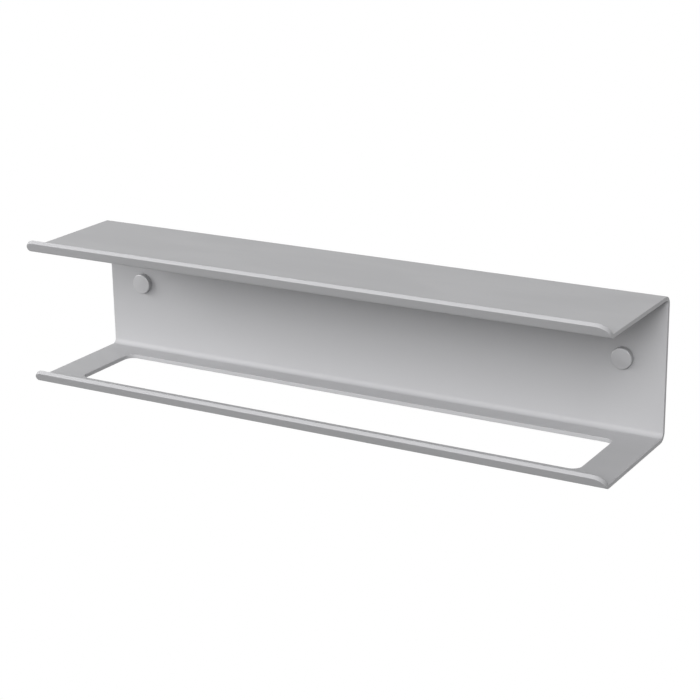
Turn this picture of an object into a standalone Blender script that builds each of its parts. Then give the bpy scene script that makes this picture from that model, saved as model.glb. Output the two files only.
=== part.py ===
"""Wall-mounted towel rack with a shelf.

One folded sheet makes the shelf, the back plate and the lower plate, whose window leaves a towel rail.
Two covered screws fix it to the wall. Metres, +Z up. The wall is the plane y = 0 and the room is
at -Y. The origin lies on the wall, midway between the two screws.
"""

import bisect
import math

import bmesh
import bpy
from mathutils import Vector

# Folded sheet
RACK_WIDTH = 0.600
RACK_HEIGHT = 0.135
RACK_DEPTH = 0.140
SHEET_THICKNESS = 0.004
BACK_BEND_INSIDE = 0.005
LIP_BEND_INSIDE = 0.003
LIP_ANGLE = math.radians(50)
LIP_LENGTH = 0.012
CORNER_RADIUS = 0.012
SHEET_EDGE_BREAK = 0.0003

# Window in the lower plate, which leaves the towel rail in front of it
WINDOW_END_MARGIN = 0.036
WINDOW_WALL_MARGIN = 0.028
TOWEL_RAIL_WIDTH = 0.031
WINDOW_CORNER_RADIUS = 0.009

# Wall fixings
FIXING_END_MARGIN = 0.040
FIXING_HEIGHT = 0.073
FIXING_SURROUND = 0.040
SEAT_CLEARANCE = 0.0003
CUT_OVERRUN = 0.002

# Screw caps
CAP_RADIUS = 0.010
CAP_PROUD = 0.006
CAP_WALL = 0.0012
CAP_EDGE_RADIUS = 0.0014
CAP_CROWN = 0.0003

# Collars under the screw heads
COLLAR_RING_STEP = 0.0004
COLLAR_CHAMFER = 0.0004

# O-rings
O_RING_SECTION = 0.0015

# Wall screws
SCREW_LENGTH = 0.050
SCREW_HEAD_RADIUS = 0.0045
SCREW_HEAD_RIM = 0.0004
SCREW_SHANK_RADIUS = 0.0021
SCREW_THREAD_RADIUS = 0.0025
SCREW_THREAD_DEPTH = 0.0007
SCREW_PITCH = 0.0022
SCREW_TIP_LENGTH = 0.005
SCREW_TIP_RADIUS = 0.0003
SCREW_HEAD_RECESS = 0.0003
SCREW_HOLE_CLEARANCE = 0.0007
DRIVE_RADIUS = 0.0023
DRIVE_WING_WIDTH = 0.0011
DRIVE_DEPTH = 0.0018
DRIVE_TAPER_SHARE = 0.6

# Wall plugs
PLUG_LENGTH = 0.040
PLUG_WALL = 0.0012
PLUG_BARB = 0.0004
PLUG_NECK_LENGTH = 0.009
PLUG_TIP_CHAMFER = 0.0007
PLUG_SLOT_WIDTH = 0.0009

# Counts
BEND_STEPS = 8
CORNER_STEPS = 7
CAP_SIDES = 40
COLLAR_SIDES = 32
RING_SIDES = 32
RING_SECTION_SIDES = 8
SCREW_SIDES = 16
THREAD_STEPS = 4
PLUG_SIDES = 20
PLUG_BARBS = 6
EDGE_STEPS = 4

# Worked out from the sizes above
RIGHT_ANGLE = math.pi / 2
FIXING_X = RACK_WIDTH / 2 - FIXING_END_MARGIN
WALL_PANEL_HALF = FIXING_X - FIXING_SURROUND
UNDERSIDE_Z = -FIXING_HEIGHT
BACK_BEND_OUTSIDE = BACK_BEND_INSIDE + SHEET_THICKNESS
LIP_BEND_OUTSIDE = LIP_BEND_INSIDE + SHEET_THICKNESS
LIP_REACH = LIP_BEND_OUTSIDE * math.sin(LIP_ANGLE) + LIP_LENGTH * math.cos(LIP_ANGLE)
PLATE_FLAT = RACK_DEPTH - BACK_BEND_OUTSIDE - LIP_REACH
BACK_FLAT = RACK_HEIGHT - BACK_BEND_OUTSIDE * 2
CAP_HEIGHT = CAP_PROUD - SEAT_CLEARANCE
CAP_BORE_RADIUS = CAP_RADIUS - CAP_WALL
COLLAR_RING_RADIUS = CAP_BORE_RADIUS - SEAT_CLEARANCE
COLLAR_RADIUS = COLLAR_RING_RADIUS - COLLAR_RING_STEP
COLLAR_HEIGHT = CAP_PROUD - CAP_WALL - SEAT_CLEARANCE
GROOVE_RADIUS = COLLAR_RING_RADIUS - O_RING_SECTION - SEAT_CLEARANCE
SCREW_HOLE_RADIUS = SCREW_THREAD_RADIUS + SCREW_HOLE_CLEARANCE
SCREW_TOP = COLLAR_HEIGHT - SCREW_HEAD_RECESS
PLUG_BORE_RADIUS = SCREW_THREAD_RADIUS + SEAT_CLEARANCE
PLUG_RADIUS = PLUG_BORE_RADIUS + PLUG_WALL
HOLE_RELIEF = PLUG_RADIUS + SEAT_CLEARANCE - SCREW_HOLE_RADIUS


def clear_scene():
    """Removes every object, so that only the rack is left."""
    for item in list(bpy.data.objects):
        bpy.data.objects.remove(item, do_unlink=True)


def make_material(name, colour, roughness, metallic):
    """A Principled material of one colour."""
    material = bpy.data.materials.new(name)
    material.use_nodes = True
    shader = material.node_tree.nodes["Principled BSDF"]
    shader.inputs["Base Color"].default_value = (*colour, 1.0)
    shader.inputs["Roughness"].default_value = roughness
    shader.inputs["Metallic"].default_value = metallic
    return material


def add_object(name, mesh, material=None, parent=None):
    """A new object in the scene that carries the mesh."""
    item = bpy.data.objects.new(name, mesh)
    bpy.context.collection.objects.link(item)
    if material and not mesh.materials:
        mesh.materials.append(material)
    item.parent = parent
    return item


def finish_mesh(name, shape, smooth_angle):
    """Turns a bmesh into a mesh whose faces point out, shaded smooth up to an angle."""
    bmesh.ops.recalc_face_normals(shape, faces=shape.faces[:])
    mesh = bpy.data.meshes.new(name)
    shape.to_mesh(mesh)
    shape.free()
    mesh.shade_smooth()
    mesh.set_sharp_from_angle(angle=smooth_angle)
    return mesh


def add_cutter(item, name, shape, parent=None):
    """Cuts a shape out of an object with a Boolean, and hides the cutter."""
    cutter = add_object(name, finish_mesh(name, shape, 0), parent=parent)
    cutter.hide_render = True
    cutter.display_type = "WIRE"
    cut = item.modifiers.new(name, "BOOLEAN")
    cut.operation = "DIFFERENCE"
    cut.solver = "EXACT"
    cut.object = cutter
    return cutter


def arc_points(centre, radius, first, last, steps):
    """Points along an arc, both ends included, with angles in radians."""
    angles = [first + (last - first) * i / steps for i in range(steps + 1)]
    return [(centre[0] + radius * math.cos(a), centre[1] + radius * math.sin(a)) for a in angles]


def spin_profile(outline, sides, closed):
    """Turns an outline of (radius, height) points about the Z axis.

    A closed outline gives a ring. An open one starts and ends on the axis.
    """
    shape = bmesh.new()
    corners = [shape.verts.new((radius, 0, height)) for radius, height in outline]
    pairs = list(zip(corners, corners[1:]))
    if closed:
        pairs.append((corners[-1], corners[0]))
    edges = [shape.edges.new(pair) for pair in pairs]
    bmesh.ops.spin(
        shape,
        geom=corners + edges,
        cent=(0, 0, 0),
        axis=(0, 0, 1),
        angle=math.tau,
        steps=sides,
        use_merge=True,
    )
    bmesh.ops.remove_doubles(shape, verts=shape.verts[:], dist=SEAT_CLEARANCE / sides)
    return shape


# Folded sheet: a flat blank with round corners, bent along straight lines

# Each run is its length along the sheet's middle and the angle that it turns through, left positive
LIP_BEND_RUN = (LIP_BEND_INSIDE + SHEET_THICKNESS / 2) * LIP_ANGLE
BACK_BEND_RUN = (BACK_BEND_INSIDE + SHEET_THICKNESS / 2) * RIGHT_ANGLE
SHEET_RUNS = [
    (LIP_LENGTH, 0),
    (LIP_BEND_RUN, LIP_ANGLE),
    (PLATE_FLAT, 0),
    (BACK_BEND_RUN, -RIGHT_ANGLE),
    (BACK_FLAT, 0),
    (BACK_BEND_RUN, -RIGHT_ANGLE),
    (PLATE_FLAT, 0),
    (LIP_BEND_RUN, -LIP_ANGLE),
    (LIP_LENGTH, 0),
]
SHEET_LENGTH = sum(length for length, _ in SHEET_RUNS)


def middle_at(distance):
    """Place and heading of the sheet's middle at a distance along it, from the shelf lip's free edge."""
    y, z, heading = 0.0, 0.0, -LIP_ANGLE
    for length, turn in SHEET_RUNS:
        step = min(distance, length)
        if turn:
            radius = length / turn
            after = heading + step / radius
            y += radius * (math.sin(after) - math.sin(heading))
            z -= radius * (math.cos(after) - math.cos(heading))
            heading = after
        else:
            y += step * math.cos(heading)
            z += step * math.sin(heading)
        distance -= step
        if distance <= 0:
            break
    return y, z, heading


def blank_stations():
    """Distances along the blank at which its section is drawn: bend steps and corner steps."""
    stations = [0.0]
    for length, turn in SHEET_RUNS:
        steps = BEND_STEPS if turn else 1
        start = stations[-1]
        stations += [start + length * i / steps for i in range(1, steps + 1)]
    for i in range(1, CORNER_STEPS + 1):
        inset = CORNER_RADIUS * (1 - math.cos(RIGHT_ANGLE * i / CORNER_STEPS))
        for extra in (inset, SHEET_LENGTH - inset):
            place = bisect.bisect(stations, extra)
            nearest = min(abs(extra - s) for s in stations[max(place - 1, 0):place + 1])
            if nearest > SHEET_EDGE_BREAK:
                stations.insert(place, extra)
    return stations


def blank_half_width(distance):
    """Half the blank's width at a distance along it, with the round corners taken off."""
    inset = min(distance, SHEET_LENGTH - distance)
    if inset >= CORNER_RADIUS:
        return RACK_WIDTH / 2
    cut = CORNER_RADIUS - math.sqrt(CORNER_RADIUS**2 - (CORNER_RADIUS - inset) ** 2)
    return RACK_WIDTH / 2 - cut


def sheet_shape():
    """The bent blank as a loft of its sections, before the window and the holes.

    Two lines across the blank leave one whole panel of wall face between the fixings.
    """
    back_y, _, _ = middle_at(SHEET_LENGTH / 2)
    _, low_z, _ = middle_at(SHEET_LENGTH - LIP_LENGTH - LIP_BEND_RUN)
    shift_y = -SHEET_THICKNESS / 2 - back_y
    shift_z = UNDERSIDE_Z + SHEET_THICKNESS / 2 - low_z
    shape = bmesh.new()
    rings = []
    for distance in blank_stations():
        y, z, heading = middle_at(distance)
        half = blank_half_width(distance)
        aside = Vector((0, -math.sin(heading), math.cos(heading))) * (SHEET_THICKNESS / 2)
        middle = Vector((0, y + shift_y, z + shift_z))
        across = (-half, -WALL_PANEL_HALF, WALL_PANEL_HALF, half)
        places = [middle + aside + Vector((x, 0, 0)) for x in across]
        places += [middle - aside + Vector((x, 0, 0)) for x in reversed(across)]
        rings.append([shape.verts.new(place) for place in places])
    for ring, after in zip(rings, rings[1:]):
        for i in range(len(ring)):
            shape.faces.new((ring[i - 1], ring[i], after[i], after[i - 1]))
    shape.faces.new(rings[0])
    shape.faces.new(reversed(rings[-1]))
    return shape


def window_cutter():
    """A prism through the lower plate with the window's rounded outline."""
    right = RACK_WIDTH / 2 - WINDOW_END_MARGIN - WINDOW_CORNER_RADIUS
    back = -WINDOW_WALL_MARGIN - WINDOW_CORNER_RADIUS
    front = -RACK_DEPTH + TOWEL_RAIL_WIDTH + WINDOW_CORNER_RADIUS
    corners = ((right, back, 0), (-right, back, 1), (-right, front, 2), (right, front, 3))
    shape = bmesh.new()
    outline = []
    for x, y, quarter in corners:
        first = quarter * RIGHT_ANGLE
        outline += arc_points((x, y), WINDOW_CORNER_RADIUS, first, first + RIGHT_ANGLE, CORNER_STEPS)
    low = UNDERSIDE_Z - CUT_OVERRUN
    face = shape.faces.new([shape.verts.new((x, y, low)) for x, y in outline])
    grown = bmesh.ops.extrude_face_region(shape, geom=[face])
    top = [item for item in grown["geom"] if isinstance(item, bmesh.types.BMVert)]
    lift = SHEET_THICKNESS + CUT_OVERRUN * 2
    bmesh.ops.translate(shape, verts=top, vec=(0, 0, lift))
    return shape


def screw_hole_cutter():
    """A bar through the back plate, widened at the wall so that the plug's end can't lift the plate."""
    low = -SHEET_THICKNESS - CUT_OVERRUN
    outline = [
        (0, CUT_OVERRUN),
        (SCREW_HOLE_RADIUS, CUT_OVERRUN),
        (SCREW_HOLE_RADIUS, HOLE_RELIEF - SHEET_THICKNESS),
        (SCREW_HOLE_RADIUS + HOLE_RELIEF, -SHEET_THICKNESS),
        (SCREW_HOLE_RADIUS + HOLE_RELIEF, low),
        (0, low),
    ]
    return spin_profile(outline, COLLAR_SIDES, closed=False)


def add_folded_sheet(material, fixings):
    """The shelf, back plate and lower plate in one piece."""
    mesh = finish_mesh("folded_sheet", sheet_shape(), math.radians(30))
    sheet = add_object("folded_sheet", mesh, material)
    add_cutter(sheet, "window_cutter", window_cutter())
    for side, fixing in fixings.items():
        add_cutter(sheet, f"{side}_screw_hole_cutter", screw_hole_cutter(), fixing)
    soften = sheet.modifiers.new("edge_break", "BEVEL")
    soften.width = SHEET_EDGE_BREAK
    soften.segments = 1
    soften.limit_method = "ANGLE"
    soften.angle_limit = math.radians(50)
    return sheet


# Wall fixings: each stands in its own frame, with z = 0 on the plate's front face and +Z to the room


def add_fixing_frame(side, x):
    """An empty on the screw's axis, turned so that its +Z points into the room."""
    frame = bpy.data.objects.new(f"{side}_fixing", None)
    bpy.context.collection.objects.link(frame)
    frame.location = (x, -SHEET_THICKNESS, 0)
    frame.rotation_euler = (RIGHT_ANGLE, 0, 0)
    return frame


def cap_mesh():
    """A turned cup with a round edge and a slightly crowned face, open towards the plate."""
    top = SEAT_CLEARANCE + CAP_HEIGHT
    rim = top - CAP_CROWN
    ceiling = COLLAR_HEIGHT + SEAT_CLEARANCE
    edge = (CAP_RADIUS - CAP_EDGE_RADIUS, rim - CAP_EDGE_RADIUS)
    outline = [(0, top), (edge[0] / 2, top - CAP_CROWN / 4)]
    outline += reversed(arc_points(edge, CAP_EDGE_RADIUS, 0, RIGHT_ANGLE, EDGE_STEPS))
    outline += [
        (CAP_RADIUS, SEAT_CLEARANCE),
        (CAP_BORE_RADIUS, SEAT_CLEARANCE),
        (CAP_BORE_RADIUS, ceiling),
        (0, ceiling),
    ]
    return finish_mesh("screw_cap", spin_profile(outline, CAP_SIDES, closed=False), math.radians(40))


def collar_mesh():
    """A turned disc with a countersunk hole for the screw and a groove for the O-ring."""
    low = SEAT_CLEARANCE
    middle = (low + COLLAR_HEIGHT) / 2
    groove = O_RING_SECTION / 2 + SEAT_CLEARANCE
    mouth = SCREW_HEAD_RADIUS + SEAT_CLEARANCE
    sink_top = SCREW_TOP - SCREW_HEAD_RIM
    sink_low = sink_top - (mouth - SCREW_HOLE_RADIUS)
    outline = [
        (SCREW_HOLE_RADIUS, low),
        (COLLAR_RADIUS, low),
        (COLLAR_RADIUS, middle - groove),
        (GROOVE_RADIUS, middle - groove),
        (GROOVE_RADIUS, middle + groove),
        (COLLAR_RADIUS, middle + groove),
        (COLLAR_RADIUS, COLLAR_HEIGHT - COLLAR_CHAMFER),
        (COLLAR_RADIUS - COLLAR_CHAMFER, COLLAR_HEIGHT),
        (mouth, COLLAR_HEIGHT),
        (mouth, sink_top),
        (SCREW_HOLE_RADIUS, sink_low),
    ]
    return finish_mesh("cap_collar", spin_profile(outline, COLLAR_SIDES, closed=True), math.radians(30))


def o_ring_mesh():
    """A rubber ring of round section, midway up the collar."""
    middle = (SEAT_CLEARANCE + COLLAR_HEIGHT) / 2
    centre = (COLLAR_RING_RADIUS - O_RING_SECTION / 2, middle)
    outline = arc_points(centre, O_RING_SECTION / 2, 0, math.tau, RING_SECTION_SIDES)[:-1]
    return finish_mesh("cap_o_ring", spin_profile(outline, RING_SIDES, closed=True), math.radians(60))


def screw_radius(height, angle, thread_start, thread_end):
    """Radius of the threaded stretch at a height and an angle round the screw."""
    core = SCREW_THREAD_RADIUS - SCREW_THREAD_DEPTH
    phase = (height / SCREW_PITCH - angle / math.tau) % 1
    crest = max(0, 1 - abs(phase - 0.5) * 4)
    ends = min(1, (thread_start - height) / SCREW_PITCH, (height - thread_end) / SCREW_PITCH)
    return core + SCREW_THREAD_DEPTH * crest * max(0, ends)


def screw_mesh():
    """A countersunk wall screw: head, plain shank, helical thread and point."""
    head_rim = SCREW_TOP - SCREW_HEAD_RIM
    head_low = head_rim - (SCREW_HEAD_RADIUS - SCREW_SHANK_RADIUS)
    thread_start = -SHEET_THICKNESS - SEAT_CLEARANCE
    tip = SCREW_TOP - SCREW_LENGTH
    thread_end = tip + SCREW_TIP_LENGTH
    rows = [
        (SCREW_TOP, lambda a: SCREW_HEAD_RADIUS),
        (head_rim, lambda a: SCREW_HEAD_RADIUS),
        (head_low, lambda a: SCREW_SHANK_RADIUS),
        (thread_start + SCREW_THREAD_DEPTH, lambda a: SCREW_SHANK_RADIUS),
    ]
    count = round((thread_start - thread_end) / SCREW_PITCH * THREAD_STEPS)
    for i in range(count + 1):
        height = thread_start + (thread_end - thread_start) * i / count
        rows.append((height, lambda a, h=height: screw_radius(h, a, thread_start, thread_end)))
    rows.append((tip, lambda a: SCREW_TIP_RADIUS))
    angles = [math.tau * i / SCREW_SIDES for i in range(SCREW_SIDES)]
    shape = bmesh.new()
    rings = []
    for height, radius in rows:
        places = [(radius(a) * math.cos(a), radius(a) * math.sin(a), height) for a in angles]
        rings.append([shape.verts.new(place) for place in places])
    for ring, after in zip(rings, rings[1:]):
        for i in range(SCREW_SIDES):
            shape.faces.new((ring[i - 1], ring[i], after[i], after[i - 1]))
    shape.faces.new(rings[0])
    shape.faces.new(reversed(rings[-1]))
    return finish_mesh("wall_screw", shape, math.radians(50))


def drive_cutter():
    """A tapered cross for the screwdriver, sunk into the head."""
    wing = DRIVE_WING_WIDTH / 2
    quarter = ((DRIVE_RADIUS, -wing), (DRIVE_RADIUS, wing), (wing, wing))
    outline = []
    for turn in range(4):
        cos, sin = round(math.cos(turn * RIGHT_ANGLE)), round(math.sin(turn * RIGHT_ANGLE))
        outline += [(x * cos - y * sin, x * sin + y * cos) for x, y in quarter]
    shape = bmesh.new()
    high = SCREW_TOP + CUT_OVERRUN
    face = shape.faces.new([shape.verts.new((x, y, high)) for x, y in outline])
    grown = bmesh.ops.extrude_face_region(shape, geom=[face])
    floor = [item for item in grown["geom"] if isinstance(item, bmesh.types.BMVert)]
    for corner in floor:
        corner.co.x *= DRIVE_TAPER_SHARE
        corner.co.y *= DRIVE_TAPER_SHARE
        corner.co.z = SCREW_TOP - DRIVE_DEPTH
    return shape


def plug_mesh():
    """A sleeve with a plain neck and barbs that bite into the wall."""
    start = -SHEET_THICKNESS - SEAT_CLEARANCE
    end = start - PLUG_LENGTH
    barbs_start = start - PLUG_NECK_LENGTH
    pitch = (PLUG_LENGTH - PLUG_NECK_LENGTH - PLUG_TIP_CHAMFER) / PLUG_BARBS
    valley = PLUG_RADIUS - PLUG_BARB
    outline = [(PLUG_BORE_RADIUS, start), (PLUG_RADIUS, start), (PLUG_RADIUS, barbs_start)]
    for i in range(PLUG_BARBS):
        top = barbs_start - pitch * i
        outline += [(valley, top - PLUG_BARB), (PLUG_RADIUS, top - pitch)]
    outline += [(PLUG_RADIUS - PLUG_TIP_CHAMFER, end), (PLUG_BORE_RADIUS, end)]
    return finish_mesh("wall_plug", spin_profile(outline, PLUG_SIDES, closed=True), math.radians(25))


def plug_slot_cutter():
    """A thin box that splits the barbed stretch into two legs, so that the screw can spread them."""
    start = -SHEET_THICKNESS - SEAT_CLEARANCE - PLUG_NECK_LENGTH
    length = PLUG_LENGTH - PLUG_NECK_LENGTH + CUT_OVERRUN
    width = (PLUG_RADIUS + CUT_OVERRUN) * 2
    shape = bmesh.new()
    bmesh.ops.create_cube(shape, size=1)
    bmesh.ops.scale(shape, vec=(width, PLUG_SLOT_WIDTH, length), verts=shape.verts[:])
    bmesh.ops.translate(shape, vec=(0, 0, start - length / 2), verts=shape.verts[:])
    return shape


def add_fixings(fixings, materials):
    """A cap, collar, O-ring, screw and plug at each fixing. Both sides share their meshes."""
    cap, collar, ring, screw, plug = cap_mesh(), collar_mesh(), o_ring_mesh(), screw_mesh(), plug_mesh()
    for side, frame in fixings.items():
        add_object(f"{side}_screw_cap", cap, materials["cap"], frame)
        add_object(f"{side}_cap_collar", collar, materials["collar"], frame)
        add_object(f"{side}_cap_o_ring", ring, materials["seal"], frame)
        wall_screw = add_object(f"{side}_wall_screw", screw, materials["screw"], frame)
        add_cutter(wall_screw, f"{side}_drive_cutter", drive_cutter(), frame)
        wall_plug = add_object(f"{side}_wall_plug", plug, materials["plug"], frame)
        add_cutter(wall_plug, f"{side}_plug_slot_cutter", plug_slot_cutter(), frame)


def main():
    clear_scene()
    materials = {
        "sheet": make_material("sheet_aluminium", (0.47, 0.47, 0.48), 0.42, 1.0),
        "cap": make_material("cap_aluminium", (0.47, 0.47, 0.48), 0.38, 1.0),
        "collar": make_material("collar_steel", (0.55, 0.55, 0.54), 0.35, 1.0),
        "seal": make_material("seal_rubber", (0.02, 0.02, 0.02), 0.65, 0.0),
        "screw": make_material("screw_steel", (0.60, 0.59, 0.57), 0.28, 1.0),
        "plug": make_material("plug_nylon", (0.42, 0.43, 0.44), 0.55, 0.0),
    }
    fixings = {"left": add_fixing_frame("left", -FIXING_X), "right": add_fixing_frame("right", FIXING_X)}
    add_folded_sheet(materials["sheet"], fixings)
    add_fixings(fixings, materials)


main()
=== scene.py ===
"""Dresses a wall-mounted towel rack with a shelf for its studio view.

One folded sheet carries two screw caps. Behind each cap are a collar, a rubber ring, a wall screw and a
wall plug. Every piece is modelled here in finer form than its solid, in the solid's place, and rides on
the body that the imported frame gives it. Metres, +Z up, the wall at y = 0 and the room at -Y.
"""

import logging
import math
from collections.abc import Callable, Iterable
from dataclasses import dataclass, field, replace
from enum import Enum
from functools import cached_property

import bmesh
import bpy
from mathutils import Matrix, Vector


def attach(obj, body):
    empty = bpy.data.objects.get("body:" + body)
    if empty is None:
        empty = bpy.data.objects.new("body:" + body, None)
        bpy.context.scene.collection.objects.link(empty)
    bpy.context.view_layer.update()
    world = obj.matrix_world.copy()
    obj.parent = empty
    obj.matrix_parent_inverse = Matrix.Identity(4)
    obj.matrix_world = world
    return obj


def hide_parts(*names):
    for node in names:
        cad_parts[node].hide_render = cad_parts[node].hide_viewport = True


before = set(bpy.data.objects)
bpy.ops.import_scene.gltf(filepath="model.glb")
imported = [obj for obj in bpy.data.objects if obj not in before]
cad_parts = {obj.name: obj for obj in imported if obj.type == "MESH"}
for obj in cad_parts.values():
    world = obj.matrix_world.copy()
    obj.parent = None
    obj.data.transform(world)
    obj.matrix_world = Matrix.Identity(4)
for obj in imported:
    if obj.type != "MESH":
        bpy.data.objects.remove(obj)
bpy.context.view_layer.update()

log = logging.getLogger("towel_rack")

MM = 0.001
MICRON = 0.000001
RIGHT_ANGLE = math.pi / 2
SMOOTH_ANGLE = math.radians(35)
WHITE = (1.0, 1.0, 1.0, 1.0)

# Places closer than TINY count as one, and a direction follows an axis when more than the share NEARLY of
# its length lies along it
TINY = 0.00002
NEARLY = 0.9

# Sizes that the sheet and its fixings share
SHEET_THICKNESS = 0.004
FIXING_X = 0.260
HOLE_RADIUS = 0.0032
OVERRUN = 0.002

Point = tuple[float, float, float]
Colour = tuple[float, float, float]
Outline = list[tuple[float, float]]
Test = Callable[[Vector, Vector], bool]
Node = bpy.types.Node
Socket = bpy.types.NodeSocket


class Side(Enum):
    """The two ends of the rack, seen from the room."""

    LEFT = "left"
    RIGHT = "right"

    @property
    def sign(self) -> int:
        """-1 on the left and 1 on the right."""
        return -1 if self is Side.LEFT else 1


class Pick(Enum):
    """What a selection is made of in edit mode."""

    VERTS = "VERT"
    EDGES = "EDGE"
    FACES = "FACE"


# Workshop: how meshes are made


@dataclass
class Workpiece:
    """One mesh object while it is being shaped with Blender's own operators."""

    name: str
    item: bpy.types.Object = field(init=False)

    def adopt(self) -> None:
        """Takes the primitive that was just added and gives it this piece's name."""
        self.item = bpy.context.active_object
        self.item.name = self.name
        self.item.data.name = self.name

    def choose(self) -> None:
        """Makes this the one selected and active object."""
        deselect_all()
        self.item.select_set(True)
        bpy.context.view_layer.objects.active = self.item

    def settle(self) -> None:
        """Moves the object's place, turn and size into its mesh."""
        self.choose()
        bpy.ops.object.transform_apply(location=True, rotation=True, scale=True)

    def open(self) -> None:
        """Enters edit mode in vertex mode, with nothing selected."""
        self.choose()
        bpy.ops.object.mode_set(mode="EDIT")
        bpy.ops.mesh.select_mode(type="VERT")
        bpy.ops.mesh.select_all(action="DESELECT")

    def close(self) -> None:
        """Leaves edit mode."""
        bpy.ops.object.mode_set(mode="OBJECT")

    def pick(self, kind: Pick, test: Test) -> None:
        """Selects what passes a test, and nothing else. The mesh is in edit mode.

        Args:
            kind: whether verts, edges or faces are tested.
            test: takes a place and a normal. An edge gives its middle and its direction.
        """
        bpy.ops.mesh.select_mode(type=kind.value)
        bpy.ops.mesh.select_all(action="DESELECT")
        shape = bmesh.from_edit_mesh(self.item.data)
        shape.normal_update()
        if kind is Pick.VERTS:
            for vert in shape.verts:
                vert.select_set(test(vert.co, vert.normal))
        elif kind is Pick.EDGES:
            for edge in shape.edges:
                first, last = (vert.co for vert in edge.verts)
                edge.select_set(test((first + last) / 2, (last - first).normalized()))
        else:
            for face in shape.faces:
                face.select_set(test(face.calc_center_median(), face.normal))
        shape.select_flush_mode()
        bmesh.update_edit_mesh(self.item.data)

    def extrude(self, step: Point) -> None:
        """Extrudes the selection and moves what is new by a step."""
        bpy.ops.mesh.extrude_region_move(TRANSFORM_OT_translate={"value": step})

    def bevel(self, kind: Pick, test: Test, reach: float, steps: int) -> None:
        """Rounds the corners or edges that pass a test.

        Args:
            kind: whether corners (verts) or edges are rounded.
            test: which ones, as in pick.
            reach: how far the rounding reaches from each.
            steps: how many steps it has.
        """
        self.open()
        self.pick(kind, test)
        affect = "VERTICES" if kind is Pick.VERTS else "EDGES"
        bpy.ops.mesh.bevel(offset=reach, segments=steps, affect=affect, clamp_overlap=False)
        self.close()

    def modify(self, kind: str, **settings: object) -> None:
        """Adds a modifier with its settings and applies it at once.

        Args:
            kind: the modifier's type, such as BEVEL.
            settings: values for the modifier's own properties.
        """
        self.choose()
        modifier = self.item.modifiers.new(kind.lower(), kind)
        for key, value in settings.items():
            setattr(modifier, key, value)
        bpy.ops.object.modifier_apply(modifier=modifier.name)

    def cut(self, tool: "Workpiece") -> None:
        """Cuts a closed shape out of this one, leaves its material on the cut, and removes it."""
        self.modify("BOOLEAN", operation="DIFFERENCE", object=tool.item, material_mode="TRANSFER")
        bpy.data.objects.remove(tool.item, do_unlink=True)

    def mend_normals(self) -> None:
        """Merges doubles and points every face outwards."""
        self.open()
        bpy.ops.mesh.select_all(action="SELECT")
        bpy.ops.mesh.remove_doubles(threshold=MICRON)
        bpy.ops.mesh.normals_make_consistent(inside=False)
        self.close()

    def soften(self, width: float = 0, segments: int = 0, angle: float = 0, weighted: bool = True) -> None:
        """Rounds the sharp edges slightly and shades flats flat and curves smooth.

        Args:
            width: how far the rounding reaches from each edge, or 0 for none.
            segments: steps across the rounding.
            angle: edges sharper than this are rounded.
            weighted: whether large faces decide the shading at their corners.
        """
        if width:
            self.modify(
                "BEVEL",
                width=width,
                segments=segments,
                limit_method="ANGLE",
                angle_limit=angle,
                use_clamp_overlap=True,
                miter_outer="MITER_ARC",
            )
        self.choose()
        bpy.ops.object.shade_smooth_by_angle(angle=SMOOTH_ANGLE)
        if weighted:
            self.modify("WEIGHTED_NORMAL", mode="FACE_AREA", keep_sharp=True)

    def copy_across(self, name: str, step: Point) -> "Workpiece":
        """Copies the piece with a mesh of its own and moves the copy by a step.

        Args:
            name: the copy's name.
            step: how far the copy's mesh moves.

        Returns:
            The copy.
        """
        twin = Workpiece(name)
        twin.item = self.item.copy()
        twin.item.data = self.item.data.copy()
        twin.item.name = name
        twin.item.data.name = name
        bpy.context.collection.objects.link(twin.item)
        twin.item.location = step
        twin.settle()
        return twin

    def dress(self, *finishes: "Finish") -> None:
        """Puts finishes into the mesh's material slots.

        Args:
            finishes: the finishes, in the order of the slots.
        """
        self.item.data.materials.clear()
        for finish in finishes:
            self.item.data.materials.append(finish.material())

    def hand_in(self, body: str, slot: str, nodes: Iterable[str]) -> None:
        """Puts this piece on the body that carries it and hides the CAD nodes that it stands for.

        Args:
            body: the CAD body that carries the piece.
            slot: the record's material slot; not used.
            nodes: the CAD nodes that the piece replaces.
        """
        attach(self.item, body)
        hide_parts(*nodes)
        deselect_all()
        log.info("%s: %d faces on %s", self.item.name, len(self.item.data.polygons), body)


def deselect_all() -> None:
    """Leaves no object selected."""
    if bpy.context.mode != "OBJECT":
        bpy.ops.object.mode_set(mode="OBJECT")
    bpy.ops.object.select_all(action="DESELECT")


def along_x_at(axis: str, place: float) -> Test:
    """A test for the edges that run along X at one place on another axis."""
    return lambda co, way: abs(getattr(co, axis) - place) < TINY and abs(way.x) > NEARLY


def block(name: str, middle: Point, size: Point, turn: float = 0.0) -> Workpiece:
    """A plain block.

    Args:
        name: the new piece's name.
        middle: where its middle lies.
        size: its sizes along X, Y and Z before it is turned.
        turn: its turn about Y.

    Returns:
        The block.
    """
    piece = Workpiece(name)
    bpy.ops.mesh.primitive_cube_add(size=1, location=middle, rotation=(0, turn, 0))
    piece.adopt()
    piece.item.scale = size
    piece.settle()
    return piece


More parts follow.
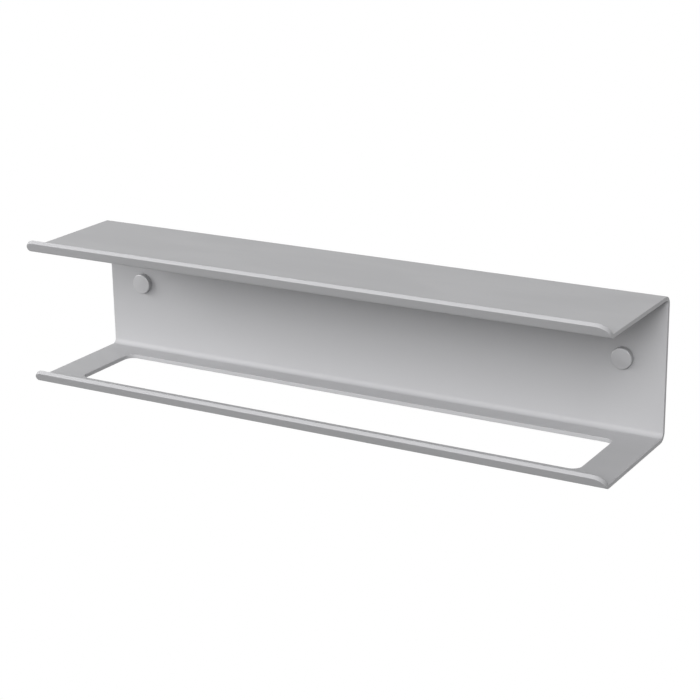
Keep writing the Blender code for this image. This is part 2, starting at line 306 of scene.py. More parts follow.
@dataclass(frozen=True)
class Lathe:
    """Turns outlines about a fixing's axis, which runs into the room from the plate's front face."""

    axis_x: float
    face_y: float
    steps: int = 64

    def place(self, radius: float, height: float) -> Vector:
        """Where a point of the outline lies before it is turned."""
        return Vector((self.axis_x + radius, self.face_y - height, 0.0))

    def turn(self, name: str, outline: Outline, closed: bool = False) -> Workpiece:
        """Draws an outline by extruding one point along it, and spins it full round.

        Args:
            name: the new piece's name.
            outline: (radius, height) pairs in order.
            closed: whether the last point joins the first, as on a ring.

        Returns:
            A closed turned shape with its faces outwards.
        """
        piece = Workpiece(name)
        bpy.ops.mesh.primitive_plane_add(size=MM, location=self.place(*outline[0]))
        piece.adopt()
        piece.settle()
        piece.open()
        bpy.ops.mesh.select_all(action="SELECT")
        bpy.ops.mesh.merge(type="CENTER")
        for before, after in zip(outline, outline[1:]):
            piece.extrude(tuple(self.place(*after) - self.place(*before)))
        if closed:
            start, end = self.place(*outline[0]), self.place(*outline[-1])
            piece.pick(Pick.VERTS, lambda co, _: min((co - start).length, (co - end).length) < TINY / 2)
            bpy.ops.mesh.edge_face_add()
        bpy.ops.mesh.select_all(action="SELECT")
        bpy.ops.mesh.spin(
            steps=self.steps,
            angle=math.tau,
            center=(self.axis_x, self.face_y, 0),
            axis=(0, 1, 0),
            use_auto_merge=True,
            use_normal_flip=False,
        )
        piece.close()
        piece.mend_normals()
        return piece


def arc(centre: tuple[float, float], radius: float, first: float, last: float, steps: int) -> Outline:
    """Points along an arc of an outline, both ends included.

    Args:
        centre: (radius, height) of the arc's centre.
        radius: the arc's own radius.
        first: start angle in degrees, from the +radius direction towards +height.
        last: end angle in degrees.
        steps: how many stretches the arc is cut into.

    Returns:
        The points in order.
    """
    angles = [math.radians(first + (last - first) * i / steps) for i in range(steps + 1)]
    return [(centre[0] + radius * math.cos(a), centre[1] + radius * math.sin(a)) for a in angles]


# Finishes: how materials are made


class NodeBench:
    """Adds and links nodes in one material or node group."""

    def __init__(self, tree: bpy.types.NodeTree) -> None:
        """Starts on a node tree."""
        self.tree = tree

    def add(self, kind: str, inputs: dict[str | int, object] | None = None, **settings: object) -> Node:
        """Adds one node.

        Args:
            kind: the node's type name without the ShaderNode start.
            inputs: plain values or output sockets for its inputs, by name or number.
            settings: the node's own properties.

        Returns:
            The node.
        """
        node = self.tree.nodes.new(kind if kind.startswith("Node") else f"ShaderNode{kind}")
        for key, value in settings.items():
            setattr(node, key, value)
        for key, value in (inputs or {}).items():
            if isinstance(value, Socket):
                self.tree.links.new(value, node.inputs[key])
            else:
                node.inputs[key].default_value = value
        return node

    def blend(self, factor: object, first: object, second: object) -> Socket:
        """Mixes two colours by a mask. A Mix node's colours are its sockets 6 and 7, and 2 going out."""
        return self.add("Mix", {0: factor, 6: first, 7: second}, data_type="RGBA").outputs[2]

    def group(self, tree: bpy.types.NodeTree, inputs: dict[str | int, object]) -> Node:
        """Places a shared group with its own values."""
        return self.add("Group", inputs, node_tree=tree)

    def spread(self, mask: Socket, low: float, high: float) -> Socket:
        """Maps a mask from 0 to 1 onto a range of values."""
        return self.add("MapRange", {"Value": mask, "To Min": low, "To Max": high}).outputs["Result"]


class GroupStore:
    """Node groups shared by the finishes, each built once and then placed with its own values."""

    def new_group(
        self, name: str, inputs: dict[str, float], outputs: Iterable[str]
    ) -> tuple[NodeBench, dict, dict]:
        """Starts a group with a vector input, number inputs and number outputs.

        Args:
            name: the group's name.
            inputs: each number input's name and default.
            outputs: the output names.

        Returns:
            The bench, the group's input sockets and its output sockets, by name.
        """
        tree = bpy.data.node_groups.new(name, "ShaderNodeTree")
        tree.interface.new_socket("Vector", in_out="INPUT", socket_type="NodeSocketVector")
        for key, value in inputs.items():
            socket = tree.interface.new_socket(key, in_out="INPUT", socket_type="NodeSocketFloat")
            socket.default_value = value
        for key in outputs:
            tree.interface.new_socket(key, in_out="OUTPUT", socket_type="NodeSocketFloat")
        bench = NodeBench(tree)
        start = bench.add("NodeGroupInput")
        end = bench.add("NodeGroupOutput")
        return bench, dict(start.outputs.items()), dict(end.inputs.items())

    @cached_property
    def fine_grain(self) -> bpy.types.NodeTree:
        """Blasted metal: tiny even pits with a slow drift in how dense they lie.

        Returns:
            A group with Scale and Drift inputs, and Mask and Height outputs.
        """
        bench, given, out = self.new_group("fine_grain", {"Scale": 2500.0, "Drift": 0.3}, ("Mask", "Height"))
        place, scale = given["Vector"], given["Scale"]
        pits = bench.add("TexNoise", {"Vector": place, "Scale": scale, "Detail": 3.0, "Roughness": 0.6})
        cells = bench.add(
            "TexVoronoi", {"Vector": place, "Scale": scale, "Randomness": 1.0}, feature="SMOOTH_F1"
        )
        drift = bench.add("TexNoise", {"Vector": place, "Scale": 14.0, "Detail": 4.0, "Roughness": 0.55})
        both = bench.add("Math", {0: pits.outputs["Fac"], 1: cells.outputs["Distance"]}, operation="ADD")
        half = bench.add("Math", {0: both.outputs[0], 1: 0.5}, operation="MULTIPLY")
        slow = bench.add("Math", {0: drift.outputs["Fac"], 1: given["Drift"]}, operation="MULTIPLY")
        mask = bench.add("Math", {0: half.outputs[0], 1: slow.outputs[0]}, operation="ADD", use_clamp=True)
        bench.tree.links.new(mask.outputs[0], out["Mask"])
        bench.tree.links.new(half.outputs[0], out["Height"])
        return bench.tree

    @cached_property
    def handling(self) -> bpy.types.NodeTree:
        """Faint clouds and wipe marks that handling leaves in a satin finish.

        Returns:
            A group with Scale and Stretch inputs and a Mask output.
        """
        bench, given, out = self.new_group("handling", {"Scale": 9.0, "Stretch": 4.0}, ("Mask",))
        squeeze = bench.add("CombineXYZ", {"X": 1.0, "Y": given["Stretch"], "Z": given["Stretch"]})
        long = bench.add("VectorMath", {0: given["Vector"], 1: squeeze.outputs[0]}, operation="MULTIPLY")
        cloudy = {"Scale": given["Scale"], "Detail": 5.0, "Roughness": 0.5, "Distortion": 0.6}
        clouds = bench.add("TexNoise", {"Vector": long.outputs[0], **cloudy})
        firm = bench.add(
            "MapRange",
            {"Value": clouds.outputs["Fac"], "From Min": 0.35, "From Max": 0.7},
            interpolation_type="SMOOTHSTEP",
        )
        bench.tree.links.new(firm.outputs["Result"], out["Mask"])
        return bench.tree

    @cached_property
    def turned_rings(self) -> bpy.types.NodeTree:
        """Fine rings that a lathe tool leaves round an axis along Y.

        Returns:
            A group with a Pitch input, and Mask and Height outputs.
        """
        bench, given, out = self.new_group("turned_rings", {"Pitch": 0.0002}, ("Mask", "Height"))
        parts = bench.add("SeparateXYZ", {0: given["Vector"]})
        across = bench.add("CombineXYZ", {"X": parts.outputs["X"], "Z": parts.outputs["Z"]})
        radius = bench.add("VectorMath", {0: across.outputs[0]}, operation="LENGTH")
        along = bench.add("Math", {0: radius.outputs["Value"], 1: parts.outputs["Y"]}, operation="ADD")
        count = bench.add("Math", {0: along.outputs[0], 1: given["Pitch"]}, operation="DIVIDE")
        waves = {"W": count.outputs[0], "Scale": 1.0, "Detail": 2.0}
        uneven = bench.add("TexNoise", waves, noise_dimensions="1D")
        for key in ("Mask", "Height"):
            bench.tree.links.new(uneven.outputs["Fac"], out[key])
        return bench.tree


GROUPS = GroupStore()


@dataclass(frozen=True)
class Finish:
    """What every finish has: a name, a colour, a roughness range, a metal share and a gloss."""

    name: str
    colour: Colour
    shade: Colour
    rough_low: float
    rough_high: float
    metallic: float
    gloss: float = 0.5

    def start(self) -> tuple[bpy.types.Material, NodeBench, Node, Socket]:
        """Starts the material.

        Returns:
            The material, its bench, its Principled shader and its object coordinates.
        """
        material = bpy.data.materials.new(self.name)
        material.use_nodes = True
        bench = NodeBench(material.node_tree)
        shader = material.node_tree.nodes["Principled BSDF"]
        shader.inputs["Metallic"].default_value = self.metallic
        shader.inputs["Specular IOR Level"].default_value = self.gloss
        place = bench.add("TexCoord").outputs["Object"]
        return material, bench, shader, place

    def colour_from(self, bench: NodeBench, shader: Node, mask: Socket) -> None:
        """Mixes the two colours by a mask into the shader."""
        mixed = bench.blend(mask, (*self.colour, 1.0), (*self.shade, 1.0))
        bench.tree.links.new(mixed, shader.inputs["Base Color"])

    def rough_from(self, bench: NodeBench, shader: Node, mask: Socket) -> None:
        """Spreads a mask over the roughness range into the shader."""
        spread = bench.spread(mask, self.rough_low, self.rough_high)
        bench.tree.links.new(spread, shader.inputs["Roughness"])

    def bump_from(self, bench: NodeBench, shader: Node, height: Socket, depth: float, reach: float) -> None:
        """Turns a height map into a slight relief, with its strength and its reach in metres."""
        bump = bench.add("Bump", {"Strength": depth, "Distance": reach, "Height": height})
        bench.tree.links.new(bump.outputs["Normal"], shader.inputs["Normal"])

    def material(self) -> bpy.types.Material:
        """The material, made on first use."""
        return bpy.data.materials.get(self.name) or self.make()

    def make(self) -> bpy.types.Material:
        """Builds the material's nodes."""
        raise NotImplementedError


@dataclass(frozen=True)
class BlastedFinish(Finish):
    """Blasted and anodised sheet: a fine even grain, with faint marks of handling."""

    grain_scale: float = 2600.0
    grain_depth: float = 0.12
    grain_reach: float = 0.00004
    drift: float = 0.3
    mark_scale: float = 7.0
    mark_stretch: float = 3.5

    def make(self) -> bpy.types.Material:
        """Builds the material's nodes.

        Returns:
            The material.
        """
        material, bench, shader, place = self.start()
        grainy = {"Vector": place, "Scale": self.grain_scale, "Drift": self.drift}
        grain = bench.group(GROUPS.fine_grain, grainy)
        wiped = {"Vector": place, "Scale": self.mark_scale, "Stretch": self.mark_stretch}
        marks = bench.group(GROUPS.handling, wiped)
        self.colour_from(bench, shader, grain.outputs["Mask"])
        self.rough_from(bench, shader, marks.outputs["Mask"])
        self.bump_from(bench, shader, grain.outputs["Height"], self.grain_depth, self.grain_reach)
        return material


@dataclass(frozen=True)
class TurnedFinish(Finish):
    """A face off the lathe: fine rings about the piece's own axis, under a satin surface."""

    centre: Point = (0.0, 0.0, 0.0)
    pitch: float = 0.00022
    ring_depth: float = 0.15
    ring_reach: float = 0.00003
    grain_scale: float = 3000.0

    def make(self) -> bpy.types.Material:
        """Builds the material's nodes.

        Returns:
            The material.
        """
        material, bench, shader, place = self.start()
        centred = bench.add("Mapping", {"Vector": place, "Location": tuple(-c for c in self.centre)})
        rings = bench.group(GROUPS.turned_rings, {"Vector": centred.outputs[0], "Pitch": self.pitch})
        grain = bench.group(GROUPS.fine_grain, {"Vector": place, "Scale": self.grain_scale})
        self.colour_from(bench, shader, grain.outputs["Mask"])
        self.rough_from(bench, shader, rings.outputs["Mask"])
        self.bump_from(bench, shader, rings.outputs["Height"], self.ring_depth, self.ring_reach)
        return material


@dataclass(frozen=True)
class MouldedFinish(Finish):
    """Moulded plastic or rubber: a soft skin with slow clouds in its colour and a light grain."""

    grain_scale: float = 1400.0
    grain_depth: float = 0.2
    grain_reach: float = 0.00005
    cloud_scale: float = 120.0
    cloud_stretch: float = 1.0

    def make(self) -> bpy.types.Material:
        """Builds the material's nodes.

        Returns:
            The material.
        """
        material, bench, shader, place = self.start()
        grain = bench.group(GROUPS.fine_grain, {"Vector": place, "Scale": self.grain_scale})
        cloudy = {"Vector": place, "Scale": self.cloud_scale, "Stretch": self.cloud_stretch}
        clouds = bench.group(GROUPS.handling, cloudy)
        self.colour_from(bench, shader, clouds.outputs["Mask"])
        self.rough_from(bench, shader, grain.outputs["Mask"])
        self.bump_from(bench, shader, grain.outputs["Height"], self.grain_depth, self.grain_reach)
        return material


# The rack's pieces


@dataclass
class FoldedSheet:
    """Shelf, back plate and lower plate in one folded sheet, with a lip along each front edge."""

    width: float = 0.600
    thickness: float = SHEET_THICKNESS
    depth: float = 0.140
    underside: float = -0.073
    height: float = 0.135
    back_bend: float = 0.005
    lip_bend: float = 0.003
    lip_angle: float = math.radians(50)
    lip_length: float = 0.012
    corner_radius: float = 0.0118
    edge_round: float = 0.0005
    edge_angle: float = math.radians(60)
    window_end: float = 0.036
    window_wall: float = 0.028
    rail_width: float = 0.031
    window_corner: float = 0.009
    fixing_x: float = FIXING_X
    hole_radius: float = HOLE_RADIUS
    hole_relief: float = 0.0011
    overrun: float = OVERRUN
    bend_steps: int = 14
    lip_steps: int = 9
    corner_steps: int = 14
    edge_steps: int = 3
    face_finish: Finish = BlastedFinish(
        "blasted_sheet", (0.455, 0.455, 0.465), (0.415, 0.415, 0.425), 0.40, 0.50, 0.0, 0.2
    )
    edge_finish: Finish = BlastedFinish(
        "cut_edge", (0.47, 0.47, 0.48), (0.41, 0.41, 0.42), 0.34, 0.46, 0.0, 0.25, grain_depth=0.25
    )

    @property
    def middle_y(self) -> float:
        """The back plate's middle."""
        return -self.thickness / 2

    @property
    def low_z(self) -> float:
        """The lower plate's middle."""
        return self.underside + self.thickness / 2

    @property
    def high_z(self) -> float:
        """The shelf's middle."""
        return self.underside + self.height - self.thickness / 2

    @property
    def lip_pull(self) -> float:
        """How far the lip's bend reaches from the corner of the sheet's middle."""
        return (self.lip_bend + self.thickness / 2) * math.tan(self.lip_angle / 2)

    @property
    def fold_y(self) -> float:
        """Where the plates' and lips' middles would meet in a sharp corner."""
        bend = (self.lip_bend + self.thickness) * math.sin(self.lip_angle)
        return -self.depth + (bend + self.lip_length * math.cos(self.lip_angle)) - self.lip_pull

    def build(self) -> Workpiece:
        """Folds the blank, gives it its thickness and cuts the window and the screw holes.

        Returns:
            The finished sheet.
        """
        sheet = Workpiece("rack_sheet")
        middle_z = (self.low_z + self.high_z) / 2
        bpy.ops.mesh.primitive_plane_add(
            size=1, location=(0, self.middle_y, middle_z), rotation=(RIGHT_ANGLE, 0, 0)
        )
        sheet.adopt()
        sheet.item.scale = (self.width, self.high_z - self.low_z, 1)
        sheet.settle()
        self.fold(sheet)
        self.round_corners(sheet)
        self.bend(sheet)
        sheet.mend_normals()
        sheet.dress(self.face_finish, self.edge_finish)
        sheet.modify(
            "SOLIDIFY",
            thickness=self.thickness,
            offset=0,
            use_even_offset=True,
            use_rim=True,
            material_offset_rim=1,
        )
        sheet.mend_normals()
        sheet.cut(self.window_cutter())
        for side in Side:
            sheet.cut(self.hole_cutter(side))
        sheet.soften(self.edge_round, self.edge_steps, self.edge_angle)
        return sheet

    def fold(self, sheet: Workpiece) -> None:
        """Extrudes the shelf, the lower plate and their lips from the back plate, with sharp folds.

        Args:
            sheet: the flat back plate.
        """
        plate = (0, self.fold_y - self.middle_y, 0)
        run = self.lip_length + self.lip_pull
        lip = (0, -run * math.cos(self.lip_angle), run * math.sin(self.lip_angle))
        sheet.open()
        for level in (self.high_z, self.low_z):
            sheet.pick(Pick.EDGES, along_x_at("z", level))
            sheet.extrude(plate)
            sheet.extrude(lip)
        sheet.close()

    def round_corners(self, sheet: Workpiece) -> None:
        """Rounds the four free corners of the folded blank."""
        front = self.fold_y - TINY
        sheet.bevel(Pick.VERTS, lambda co, _: co.y < front, self.corner_radius, self.corner_steps)

    def bend(self, sheet: Workpiece) -> None:
        """Turns the sharp folds into bends of even radius.

        Args:
            sheet: the blank with its sharp folds.
        """
        back = (self.back_bend + self.thickness / 2) * math.tan(RIGHT_ANGLE / 2)
        for place, reach, steps in (
            (self.middle_y, back, self.bend_steps),
            (self.fold_y, self.lip_pull, self.lip_steps),
        ):
            sheet.bevel(Pick.EDGES, along_x_at("y", place), reach, steps)

    def window_cutter(self) -> Workpiece:
        """A prism with the window's rounded outline, through the lower plate.

        Returns:
            The prism, which leaves cut edges.
        """
        half = self.width / 2 - self.window_end
        back, front = -self.window_wall, -self.depth + self.rail_width
        size = (half * 2, back - front, self.thickness + self.overrun * 2)
        prism = block("window_prism", (0, (back + front) / 2, self.low_z), size)
        prism.bevel(Pick.EDGES, lambda _, way: abs(way.z) > NEARLY, self.window_corner, self.corner_steps)
        prism.dress(self.edge_finish)
        return prism

    def hole_cutter(self, side: Side) -> Workpiece:
        """A bar through the back plate on one screw's axis, widened towards the wall.

        Args:
            side: which end of the rack.

        Returns:
            The bar, which leaves cut edges.
        """
        low = -self.thickness - self.overrun
        wide = self.hole_radius + self.hole_relief
        outline = [
            (0.0, self.overrun),
            (self.hole_radius, self.overrun),
            (self.hole_radius, self.hole_relief - self.thickness),
            (wide, -self.thickness),
            (wide, low),
            (0.0, low),
        ]
        lathe = Lathe(self.fixing_x * side.sign, -self.thickness)
        bar = lathe.turn(f"{side.value}_hole_bar", outline)
        bar.dress(self.edge_finish)
        return bar


@dataclass
class Fixings:
    """The two wall fixings: cap, collar, ring, screw and plug, made on the left and copied right."""

    axis_x: float = FIXING_X
    face_y: float = -SHEET_THICKNESS
    clearance: float = 0.0003
    cap_radius: float = 0.010
    cap_proud: float = 0.006
    cap_wall: float = 0.0012
    cap_edge: float = 0.0012
    cap_inner_edge: float = 0.0010
    cap_crown: float = 0.0006
    cap_edge_steps: int = 12
    cap_inner_steps: int = 5
    crown_shares: tuple[float, ...] = (0.25, 0.5, 0.75)
    collar_round: float = 0.000075
    collar_angle: float = math.radians(45)
    ring_section: float = 0.0015
    ring_step: float = 0.0004
    ring_seam: float = 0.03
    ring_steps: int = 20
    head_radius: float = 0.0045
    head_rim: float = 0.0004
    head_recess: float = 0.0003
    shank_radius: float = 0.0021
    thread_radius: float = 0.0025
    thread_depth: float = 0.0007
    thread_pitch: float = 0.0022
    thread_foot_share: float = 0.6
    thread_crest_share: float = 0.15
    thread_steps: int = 24
    screw_length: float = 0.050
    tip_length: float = 0.005
    tip_radius: float = 0.0003
    drive_radius: float = 0.0023
    drive_wing: float = 0.0011
    drive_depth: float = 0.0018
    drive_taper: float = 0.6
    hole_radius: float = HOLE_RADIUS
    plug_length: float = 0.040
    plug_radius: float = 0.004
    plug_bore: float = 0.0028
    plug_barb: float = 0.0004
    plug_barbs: int = 6
    plug_neck: float = 0.009
    plug_tip: float = 0.0007
    plug_slot: float = 0.0009
    plug_round: float = 0.00006
    plug_angle: float = math.radians(63)
    slot_root_share: float = 0.49
    slot_root_steps: int = 5
    break_steps: int = 2
    overrun: float = OVERRUN
    cap_finish: Finish = TurnedFinish(
        "cap_satin", (0.46, 0.46, 0.47), (0.425, 0.425, 0.435), 0.26, 0.32, 0.27, 0.45
    )
    collar_finish: Finish = TurnedFinish(
        "plated_collar", (0.56, 0.56, 0.55), (0.48, 0.48, 0.475), 0.22, 0.42, 1.0, ring_depth=0.3
    )
    ring_finish: Finish = MouldedFinish(
        "black_rubber", (0.018, 0.018, 0.019), (0.03, 0.03, 0.031), 0.55, 0.75, 0.0
    )
    screw_finish: Finish = TurnedFinish(
        "bright_screw", (0.62, 0.61, 0.59), (0.52, 0.51, 0.50), 0.18, 0.34, 1.0, pitch=0.0004
    )
    plug_finish: Finish = MouldedFinish(
        "grey_nylon", (0.42, 0.43, 0.44), (0.36, 0.37, 0.38), 0.42, 0.6, 0.0
    )

    @property
    def lathe(self) -> Lathe:
        """The lathe on the left fixing's axis."""
        return Lathe(-self.axis_x, self.face_y)

    @property
    def bore(self) -> float:
        """The cap's bore radius."""
        return self.cap_radius - self.cap_wall

    @property
    def collar_height(self) -> float:
        """How far the collar stands off the plate."""
        return self.cap_proud - self.cap_wall - self.clearance

    @property
    def ring_height(self) -> float:
        """How far the middle of the rubber ring stands off the plate."""
        return (self.clearance + self.collar_height) / 2

    @property
    def screw_top(self) -> float:
        """How far the screw's head stands off the plate."""
        return self.collar_height - self.head_recess

    @property
    def behind(self) -> float:
        """Height just behind the back plate, where thread and plug begin."""
        return -SHEET_THICKNESS - self.clearance

    def centre(self, side: Side) -> Point:
        """Where a fixing's axis meets the plate's front face."""
        return (self.axis_x * side.sign, self.face_y, 0.0)

    def make_all(self) -> None:
        """Builds each piece on the left, copies it to the right, dresses both and puts them on their bodies.
        """
        pieces = (
            (self.cap, "cap_turned", "cap", "screw_cap", self.cap_finish),
            (self.collar, "collar_turned", "collar", "cap_collar", self.collar_finish),
            (self.ring, "rubber_ring", "seal", "cap_o_ring", self.ring_finish),
            (self.screw, "screw_turned", "screw", "wall_screw", self.screw_finish),
            (self.plug, "plug_moulded", "plug", "wall_plug", self.plug_finish),
        )
        for build, name, slot, node, finish in pieces:
            left = build(f"left_{name}")
            right = left.copy_across(f"right_{name}", (self.axis_x * 2, 0, 0))
            for side, piece in ((Side.LEFT, left), (Side.RIGHT, right)):
                own = finish
                if isinstance(finish, TurnedFinish):
                    own = replace(finish, name=f"{side.value}_{finish.name}", centre=self.centre(side))
                piece.dress(own)
                body = f"{side.value}_cap" if node == "screw_cap" else "rack"
                piece.hand_in(body, slot, [f"{side.value}_{node}"])

    def cap(self, name: str) -> Workpiece:
        """A turned cup with a round edge and a slightly crowned face.

        Args:
            name: the piece's name.

        Returns:
            The cap on the left fixing.
        """
        top = self.cap_proud
        rim = top - self.cap_crown
        shoulder = (self.cap_radius - self.cap_edge, rim - self.cap_edge)
        ceiling = self.collar_height + self.clearance
        inner = (self.bore - self.cap_inner_edge, ceiling - self.cap_inner_edge)
        break_in = self.clearance / 2
        outline = [(0.0, top)]
        outline += [(shoulder[0] * share, top - self.cap_crown * share**2) for share in self.crown_shares]
        outline += arc(shoulder, self.cap_edge, 90, 0, self.cap_edge_steps)
        outline += [
            (self.cap_radius, self.clearance + break_in),
            (self.cap_radius - break_in, self.clearance),
            (self.bore + break_in, self.clearance),
            (self.bore, self.clearance + break_in),
        ]
        outline += arc(inner, self.cap_inner_edge, 0, 90, self.cap_inner_steps) + [(0.0, ceiling)]
        piece = self.lathe.turn(name, outline)
        piece.soften()
        return piece

    def collar(self, name: str) -> Workpiece:
        """A turned disc with a groove for the ring and a countersunk hole for the screw.

        Args:
            name: the piece's name.

        Returns:
            The collar on the left fixing.
        """
        radius = self.bore - self.clearance - self.ring_step
        floor = self.bore - self.clearance * 2 - self.ring_section
        half = self.ring_section / 2 + self.clearance
        middle = self.ring_height
        mouth = self.head_radius + self.clearance
        sink_top = self.screw_top - self.head_rim
        outline = [
            (self.hole_radius, self.clearance),
            (radius, self.clearance),
            (radius, middle - half),
            (floor, middle - half),
            (floor, middle + half),
            (radius, middle + half),
            (radius, self.collar_height - self.ring_step),
            (radius - self.ring_step, self.collar_height),
            (mouth, self.collar_height),
            (mouth, sink_top),
            (self.hole_radius, sink_top - mouth + self.hole_radius),
        ]
        piece = self.lathe.turn(name, outline, closed=True)
        piece.soften(self.collar_round, self.break_steps, self.collar_angle)
        return piece

    def ring(self, name: str) -> Workpiece:
        """A moulded rubber ring of round section, with the faint seam that its mould leaves.

        Args:
            name: the piece's name.

        Returns:
            The ring in the left collar's groove.
        """
        radius = self.ring_section / 2
        centre = (self.bore - self.clearance - radius, self.ring_height)
        outline = arc(centre, radius * (1 - self.ring_seam), 0, 360, self.ring_steps)[:-1]
        for seam in (0, len(outline) // 2):
            side = 1 if seam == 0 else -1
            outline[seam] = (centre[0] + radius * side, centre[1])
        piece = self.lathe.turn(name, outline, closed=True)
        piece.soften(weighted=False)
        return piece

    def screw(self, name: str) -> Workpiece:
        """A countersunk wall screw: head with a cross drive, plain shank, wound thread and point.

        Args:
            name: the piece's name.

        Returns:
            The screw on the left fixing's axis.
        """
        core = self.thread_radius - self.thread_depth
        rim = self.screw_top - self.head_rim
        tip = self.screw_top - self.screw_length
        edge = self.clearance / 2
        outline = [
            (0.0, self.screw_top),
            (self.head_radius - edge, self.screw_top),
            (self.head_radius, self.screw_top - edge),
            (self.head_radius, rim),
            (self.shank_radius, rim - self.head_radius + self.shank_radius),
            (self.shank_radius, self.behind + self.thread_depth),
            (core, self.behind),
            (core, tip + self.tip_length),
            (self.tip_radius, tip + self.tip_radius),
            (0.0, tip),
        ]
        piece = self.lathe.turn(name, outline)
        for quarter in range(2):
            piece.cut(self.drive_wing_cutter(quarter))
        thread = self.thread(core)
        deselect_all()
        thread.item.select_set(True)
        piece.item.select_set(True)
        bpy.context.view_layer.objects.active = piece.item
        bpy.ops.object.join()
        piece.soften()
        return piece

    def drive_wing_cutter(self, quarter: int) -> Workpiece:
        """One tapered wing of the cross drive.

        Args:
            quarter: 0 for the first wing and 1 for the one square to it.

        Returns:
            The cutter, sunk into the left screw's head.
        """
        high, low = self.screw_top + self.overrun, self.screw_top - self.drive_depth
        middle = (-self.axis_x, self.face_y - (high + low) / 2, 0)
        size = (self.drive_radius * 2, high - low, self.drive_wing)
        wing = block(f"drive_wing_{quarter}", middle, size, RIGHT_ANGLE * quarter)
        wing.open()
        wing.pick(Pick.FACES, lambda _, normal: normal.y > NEARLY)
        share = self.drive_taper
        centre = (-self.axis_x, self.face_y - low, 0)
        bpy.ops.transform.resize(value=(share, 1, share), center_override=centre)
        wing.close()
        return wing

    def thread(self, core: float) -> Workpiece:
        """A ridge wound round the screw's core, sunk into it at both ends.

        Args:
            core: the core's radius.

        Returns:
            The ridge round the left screw.
        """
        ridge = Workpiece("thread_ridge")
        root = core - self.clearance / 2
        depth = self.thread_radius - root
        tip = self.screw_top - self.screw_length
        start = self.face_y - self.behind + self.thread_pitch / 2
        turns = int((self.behind - tip - self.tip_length) / self.thread_pitch)
        bpy.ops.mesh.primitive_plane_add(size=1, location=(-self.axis_x, start, 0))
        ridge.adopt()
        ridge.open()
        bpy.ops.mesh.select_all(action="SELECT")
        bpy.ops.transform.resize(value=(depth, self.thread_pitch * self.thread_foot_share, 1))
        bpy.ops.transform.translate(value=(root + depth / 2, 0, 0))
        ridge.pick(Pick.VERTS, lambda co, _: co.x > root + depth / 2)
        bpy.ops.transform.resize(value=(1, self.thread_crest_share, 1))
        ridge.pick(Pick.FACES, lambda co, _: True)
        bpy.ops.mesh.delete(type="ONLY_FACE")
        ridge.close()
        corners = len(ridge.item.data.vertices)
        ridge.modify(
            "SCREW",
            axis="Y",
            angle=math.tau,
            screw_offset=self.thread_pitch,
            iterations=turns,
            steps=self.thread_steps,
            render_steps=self.thread_steps,
        )
        points = ridge.item.data.vertices
        last = len(points) // corners - 1
        for point in points:
            ring = point.index // corners
            rise = min(1.0, ring / self.thread_steps, (last - ring) / self.thread_steps)
            reach = math.hypot(point.co.x, point.co.z)
            share = (root + (reach - root) * rise) / reach
            point.co.x *= share
            point.co.z *= share
        ridge.settle()
        ridge.open()
        bpy.ops.mesh.select_non_manifold()
        bpy.ops.mesh.fill_holes(sides=corners)
        ridge.close()
        ridge.mend_normals()
        return ridge

    def plug(self, name: str) -> Workpiece:
        """A moulded sleeve with a plain neck and barbs, split into two legs.

        Args:
            name: the piece's name.

        Returns:
            The plug round the left screw.
        """
        start = self.behind
        end = start - self.plug_length
        barbs_start = start - self.plug_neck
        pitch = (self.plug_length - self.plug_neck - self.plug_tip) / self.plug_barbs
        valley = self.plug_radius - self.plug_barb
        edge = self.clearance / 2
        outline = [
            (self.plug_bore, start - edge),
            (self.plug_bore + edge, start),
            (self.plug_radius - edge, start),
            (self.plug_radius, start - edge),
            (self.plug_radius, barbs_start),
        ]
        for i in range(self.plug_barbs):
            top = barbs_start - pitch * i
            outline += [
                (valley, top - self.plug_barb),
                (self.plug_radius - edge, top - pitch + edge),
                (self.plug_radius, top - pitch),
            ]
        outline += [(self.plug_radius - self.plug_tip, end), (self.plug_bore, end)]
        piece = self.lathe.turn(name, outline, closed=True)
        piece.cut(self.slot_cutter(barbs_start, end))
        piece.soften(self.plug_round, self.break_steps, self.plug_angle)
        return piece

    def slot_cutter(self, start: float, end: float) -> Workpiece:
        """A thin board with a round root, which splits the plug's barbed stretch.

        Args:
            start: height at the slot's root.
            end: height at the plug's tip.

        Returns:
            The cutter through the left plug.
        """
        low = end - self.overrun
        width = (self.plug_radius + self.overrun) * 2
        middle = (-self.axis_x, self.face_y - (start + low) / 2, 0)
        board = block("slot_board", middle, (width, start - low, self.plug_slot))
        root = self.plug_slot * self.slot_root_share
        board.bevel(Pick.EDGES, along_x_at("y", self.face_y - start), root, self.slot_root_steps)
        return board


# Studio


@dataclass(frozen=True)
class Lamp:
    """A soft square lamp that looks at the rack."""

    name: str
    place: Point
    size: float
    power: float
    target: Point = (0, -0.06, 0)

    def light(self) -> None:
        """Puts the lamp into the scene."""
        data = bpy.data.lights.new(self.name, "AREA")
        data.shape = "SQUARE"
        data.size = self.size
        data.energy = self.power
        item = bpy.data.objects.new(self.name, data)
        bpy.context.scene.collection.objects.link(item)
        item.location = self.place
        way = Vector(self.target) - Vector(self.place)
        item.rotation_euler = way.to_track_quat("-Z", "Y").to_euler()


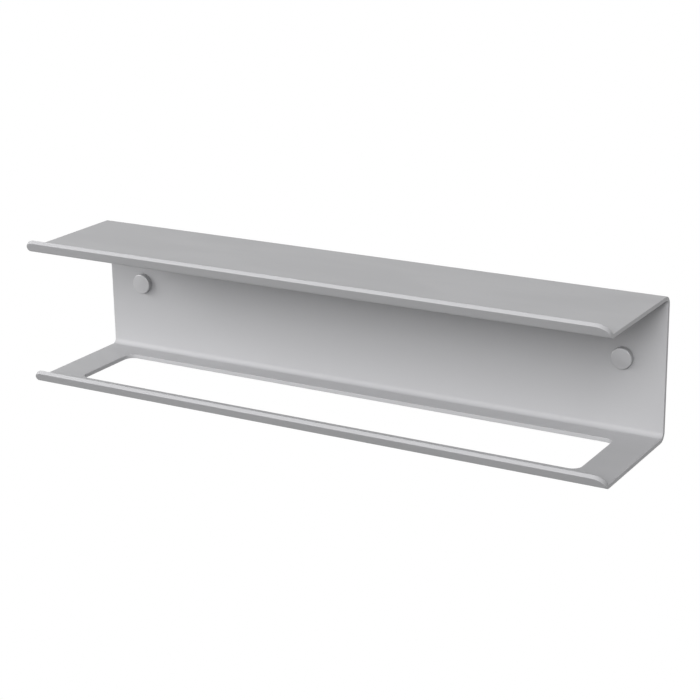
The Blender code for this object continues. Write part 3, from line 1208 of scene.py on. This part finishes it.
@dataclass
class Studio:
    """A floor that looks white, soft light and the camera at the photograph's angle."""

    lens: float = 95.693
    sensor: float = 36.0
    yaw: float = math.radians(30.3)
    pitch: float = math.radians(18.0)
    roll: float = math.radians(-0.86)
    target: Point = (0.01395, -0.060, -0.01424)
    distance: float = 1.71746
    floor_z: float = -0.45
    floor_size: float = 40.0
    floor_shade: float = 0.15
    floor_rough: float = 0.9
    ambient: float = 0.32
    lamps: tuple[Lamp, ...] = (
        Lamp("left_lamp", (-1.28, -0.69, 0.42), 0.8, 10.0),
        Lamp("front_lamp", (-0.615, -2.357, 0.773), 1.2, 14.7),
        Lamp("right_lamp", (0.815, -2.078, 1.231), 1.2, 50.6),
    )

    def build(self) -> None:
        """Sets up the camera, the floor, the world and the lamps."""
        bpy.context.scene.view_settings.view_transform = "Standard"
        self.add_camera()
        self.add_floor()
        self.add_world()
        for lamp in self.lamps:
            lamp.light()

    def add_camera(self) -> None:
        """Puts the camera where the photograph was taken from."""
        yaw, pitch, roll = self.yaw, self.pitch, self.roll
        reach = math.cos(pitch)
        ahead = Vector((-math.sin(yaw) * reach, math.cos(yaw) * reach, -math.sin(pitch)))
        level = Vector((math.cos(yaw), math.sin(yaw), 0.0))
        above = level.cross(ahead)
        right = level * math.cos(roll) + above * math.sin(roll)
        up = above * math.cos(roll) - level * math.sin(roll)
        turn = Matrix((right, up, -ahead)).transposed()
        data = bpy.data.cameras.new("photo_camera")
        data.sensor_width = self.sensor
        data.lens = self.lens
        camera = bpy.data.objects.new("photo_camera", data)
        bpy.context.scene.collection.objects.link(camera)
        camera.location = Vector(self.target) - ahead * self.distance
        camera.rotation_euler = turn.to_euler()
        bpy.context.scene.camera = camera

    def whiten(self, bench: NodeBench, plain: Node, kind: str) -> Socket:
        """Shows plain white to camera, glossy and transmission rays, and a plain shader to the rest.

        Args:
            bench: where the nodes are added.
            plain: the plain shader.
            kind: the node that gives the white.

        Returns:
            The mixed shader.
        """
        rays = bench.add("LightPath")
        mask = rays.outputs["Is Camera Ray"]
        for key in ("Is Glossy Ray", "Is Transmission Ray"):
            mask = bench.add("Math", {0: mask, 1: rays.outputs[key]}, operation="MAXIMUM").outputs[0]
        white = bench.add(kind, {"Color": WHITE, "Strength": 1.0})
        return bench.add("MixShader", {0: mask, 1: plain.outputs[0], 2: white.outputs[0]}).outputs[0]

    def add_floor(self) -> None:
        """Lays a floor well below the rack, which takes its soft shadow and is clear from beneath."""
        bpy.ops.mesh.primitive_plane_add(size=self.floor_size, location=(0, 0, self.floor_z))
        floor = bpy.context.active_object
        floor.name = "studio_floor"
        material = bpy.data.materials.new("studio_floor")
        material.use_nodes = True
        bench = NodeBench(material.node_tree)
        shader = material.node_tree.nodes["Principled BSDF"]
        shade = self.floor_shade
        shader.inputs["Base Color"].default_value = (shade, shade, shade, 1.0)
        shader.inputs["Roughness"].default_value = self.floor_rough
        above = self.whiten(bench, shader, "Emission")
        beneath = bench.add("NewGeometry").outputs["Backfacing"]
        clear = bench.add("BsdfTransparent")
        ground = bench.add("MixShader", {0: beneath, 1: above, 2: clear.outputs[0]})
        output = material.node_tree.nodes["Material Output"]
        bench.tree.links.new(ground.outputs[0], output.inputs["Surface"])
        floor.data.materials.append(material)
        deselect_all()

    def add_world(self) -> None:
        """Gives plain white to the eye and to reflections, and a lower even light to the rest."""
        world = bpy.data.worlds.new("studio_world")
        bpy.context.scene.world = world
        world.use_nodes = True
        bench = NodeBench(world.node_tree)
        plain = world.node_tree.nodes["Background"]
        plain.inputs["Color"].default_value = WHITE
        plain.inputs["Strength"].default_value = self.ambient
        output = world.node_tree.nodes["World Output"]
        bench.tree.links.new(self.whiten(bench, plain, "Background"), output.inputs["Surface"])


def main() -> None:
    """Builds the studio and every piece in order."""
    logging.basicConfig(level=logging.INFO, format="%(name)s: %(message)s")
    deselect_all()
    Studio().build()
    sheet = FoldedSheet().build()
    sheet.hand_in("rack", "sheet", ["folded_sheet"])
    Fixings().make_all()
    log.info("sizes kept")


if __name__ == "__main__":
    main()
